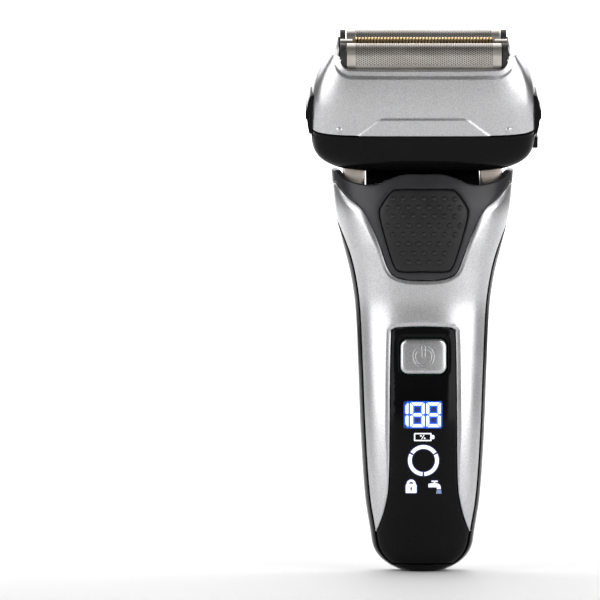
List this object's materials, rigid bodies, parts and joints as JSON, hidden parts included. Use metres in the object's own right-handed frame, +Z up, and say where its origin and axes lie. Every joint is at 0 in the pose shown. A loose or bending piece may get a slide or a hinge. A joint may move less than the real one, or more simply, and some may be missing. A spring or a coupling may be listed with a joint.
{
  "type": "electric shaver",
  "caption": "Cordless foil shaver: waisted handle with display and power button, forward-leaning floating head with foils and a slotted comb, release buttons and rear trimmer.",
  "frame": {"origin": "centre of the overall box, on the plane that the lower end of the handle stands on", "axes": "+Z up along the handle; the front, with display and thumb grip, faces -Y; X runs across the head"},
  "size_m": [0.0694, 0.0398, 0.1598],
  "materials": {
    "satin_silver": "satin anodised",
    "dark_satin": "dark satin",
    "gloss_black": "high gloss",
    "matt_black": "fine matt",
    "rubber": "soft matt",
    "nickel": "polished nickel",
    "gold": "gold coated",
    "steel": "ground steel",
    "neck_metal": "brushed warm satin",
    "board_green": "solder mask",
    "cell_blue": "shrink sleeve",
    "clear_grey": "moulded"
  },
  "bodies": {
    "handle": {"rear_shell": "gloss_black", "front_frame": "satin_silver", "collar": "dark_satin", "thumb_grip": "rubber", "display_window": "gloss_black", "tact_switch": "matt_black", "display_module": "clear_grey", "main_board": "board_green", "chassis": "matt_black", "battery_cell": "cell_blue", "charging_socket": "matt_black", "charging_pin_left": "nickel", "charging_pin_right": "nickel", "motor": "steel", "motor_mount": "matt_black", "top_deck": "matt_black", "neck_block": "gloss_black", "neck_seal": "rubber", "neck_arm_left": "neck_metal", "neck_arm_right": "neck_metal", "pivot_pin_left": "steel", "pivot_pin_right": "steel", "board_screw_lower_left": "steel", "board_screw_lower_right": "steel", "board_screw_upper_left": "steel", "board_screw_upper_right": "steel"},
    "power_button": {"power_button": "satin_silver"},
    "eccentric": {"eccentric": "steel"},
    "trimmer": {"trimmer_housing": "matt_black", "trimmer_blade": "steel"},
    "trimmer_cutter": {"trimmer_cutter": "steel"},
    "head": {"head_base": "gloss_black", "drive_deck": "matt_black"},
    "head_lock": {"head_lock_lever": "gloss_black"},
    "release_left": {"release_button_left": "gloss_black"},
    "release_right": {"release_button_right": "gloss_black"},
    "drive": {"drive_bridge": "matt_black", "cutter_spring_front": "steel", "cutter_spring_middle": "steel", "cutter_spring_rear": "steel"},
    "cutter_front": {"inner_cutter_front": "steel"},
    "cutter_rear": {"inner_cutter_rear": "steel"},
    "cutter_comb": {"comb_blade": "steel"},
    "foil_frame": {"foil_frame": "satin_silver", "foil_cassette": "matt_black"},
    "foil_front": {"foil_front": "nickel", "foil_cap_front_left": "matt_black", "foil_cap_front_right": "matt_black"},
    "foil_rear": {"foil_rear": "nickel", "foil_cap_rear_left": "matt_black", "foil_cap_rear_right": "matt_black"},
    "comb": {"comb_guard": "gold", "comb_holder_left": "nickel", "comb_holder_right": "nickel"}
  },
  "joints": [
    {"name": "head_tilt", "type": "hinge", "parent": "handle", "child": "head", "pos_m": [0, 0.00159, 0.1262], "axis": [1, 0, 0], "range_deg": [-10, 10], "stiffness_Nm_per_rad": 0.6},
    {"name": "head_lock_slide", "type": "slide", "parent": "head", "child": "head_lock", "axis": [0, 0.9205, 0.3907], "range_m": [0, 0.002]},
    {"name": "release_left_press", "type": "slide", "parent": "head", "child": "release_left", "axis": [1, 0, 0], "range_m": [0, 0.0012], "stiffness_N_per_m": 700},
    {"name": "release_right_press", "type": "slide", "parent": "head", "child": "release_right", "axis": [-1, 0, 0], "range_m": [0, 0.0012], "stiffness_N_per_m": 700},
    {"name": "foil_frame_lift", "type": "slide", "parent": "head", "child": "foil_frame", "axis": [0, -0.3907, 0.9205], "range_m": [0, 0.03]},
    {"name": "foil_front_float", "type": "slide", "parent": "foil_frame", "child": "foil_front", "axis": [0, 0.3907, -0.9205], "range_m": [0, 0.0012], "stiffness_N_per_m": 700},
    {"name": "foil_rear_float", "type": "slide", "parent": "foil_frame", "child": "foil_rear", "axis": [0, 0.3907, -0.9205], "range_m": [0, 0.0012], "stiffness_N_per_m": 700},
    {"name": "comb_float", "type": "slide", "parent": "foil_frame", "child": "comb", "axis": [0, 0.3907, -0.9205], "range_m": [0, 0.0012], "stiffness_N_per_m": 700},
    {"name": "drive_stroke", "type": "slide", "parent": "head", "child": "drive", "axis": [1, 0, 0], "range_m": [-0.0012, 0.0012], "stiffness_N_per_m": 1200},
    {"name": "cutter_front_float", "type": "slide", "parent": "drive", "child": "cutter_front", "axis": [0, 0.3907, -0.9205], "range_m": [0, 0.0012]},
    {"name": "cutter_rear_float", "type": "slide", "parent": "drive", "child": "cutter_rear", "axis": [0, 0.3907, -0.9205], "range_m": [0, 0.0012]},
    {"name": "cutter_comb_float", "type": "slide", "parent": "drive", "child": "cutter_comb", "axis": [0, 0.3907, -0.9205], "range_m": [0, 0.0012]},
    {"name": "eccentric_spin", "type": "hinge", "parent": "handle", "child": "eccentric", "pos_m": [0, 0.00159, 0.107], "axis": [0, 0, 1], "continuous": true},
    {"name": "power_press", "type": "slide", "parent": "handle", "child": "power_button", "axis": [0, 1, 0], "range_m": [0, 0.0004], "stiffness_N_per_m": 1000},
    {"name": "trimmer_open", "type": "hinge", "parent": "handle", "child": "trimmer", "pos_m": [0, 0.01909, 0.0834], "axis": [-1, 0, 0], "range_deg": [0, 55]},
    {"name": "trimmer_stroke", "type": "slide", "parent": "trimmer", "child": "trimmer_cutter", "axis": [1, 0, 0], "range_m": [-0.0008, 0.0008], "stiffness_N_per_m": 300}
  ],
  "couplings": [
    {"joint": "cutter_front_float", "follows": "foil_front_float", "ratio": 1},
    {"joint": "cutter_rear_float", "follows": "foil_rear_float", "ratio": 1},
    {"joint": "cutter_comb_float", "follows": "comb_float", "ratio": 1}
  ]
}
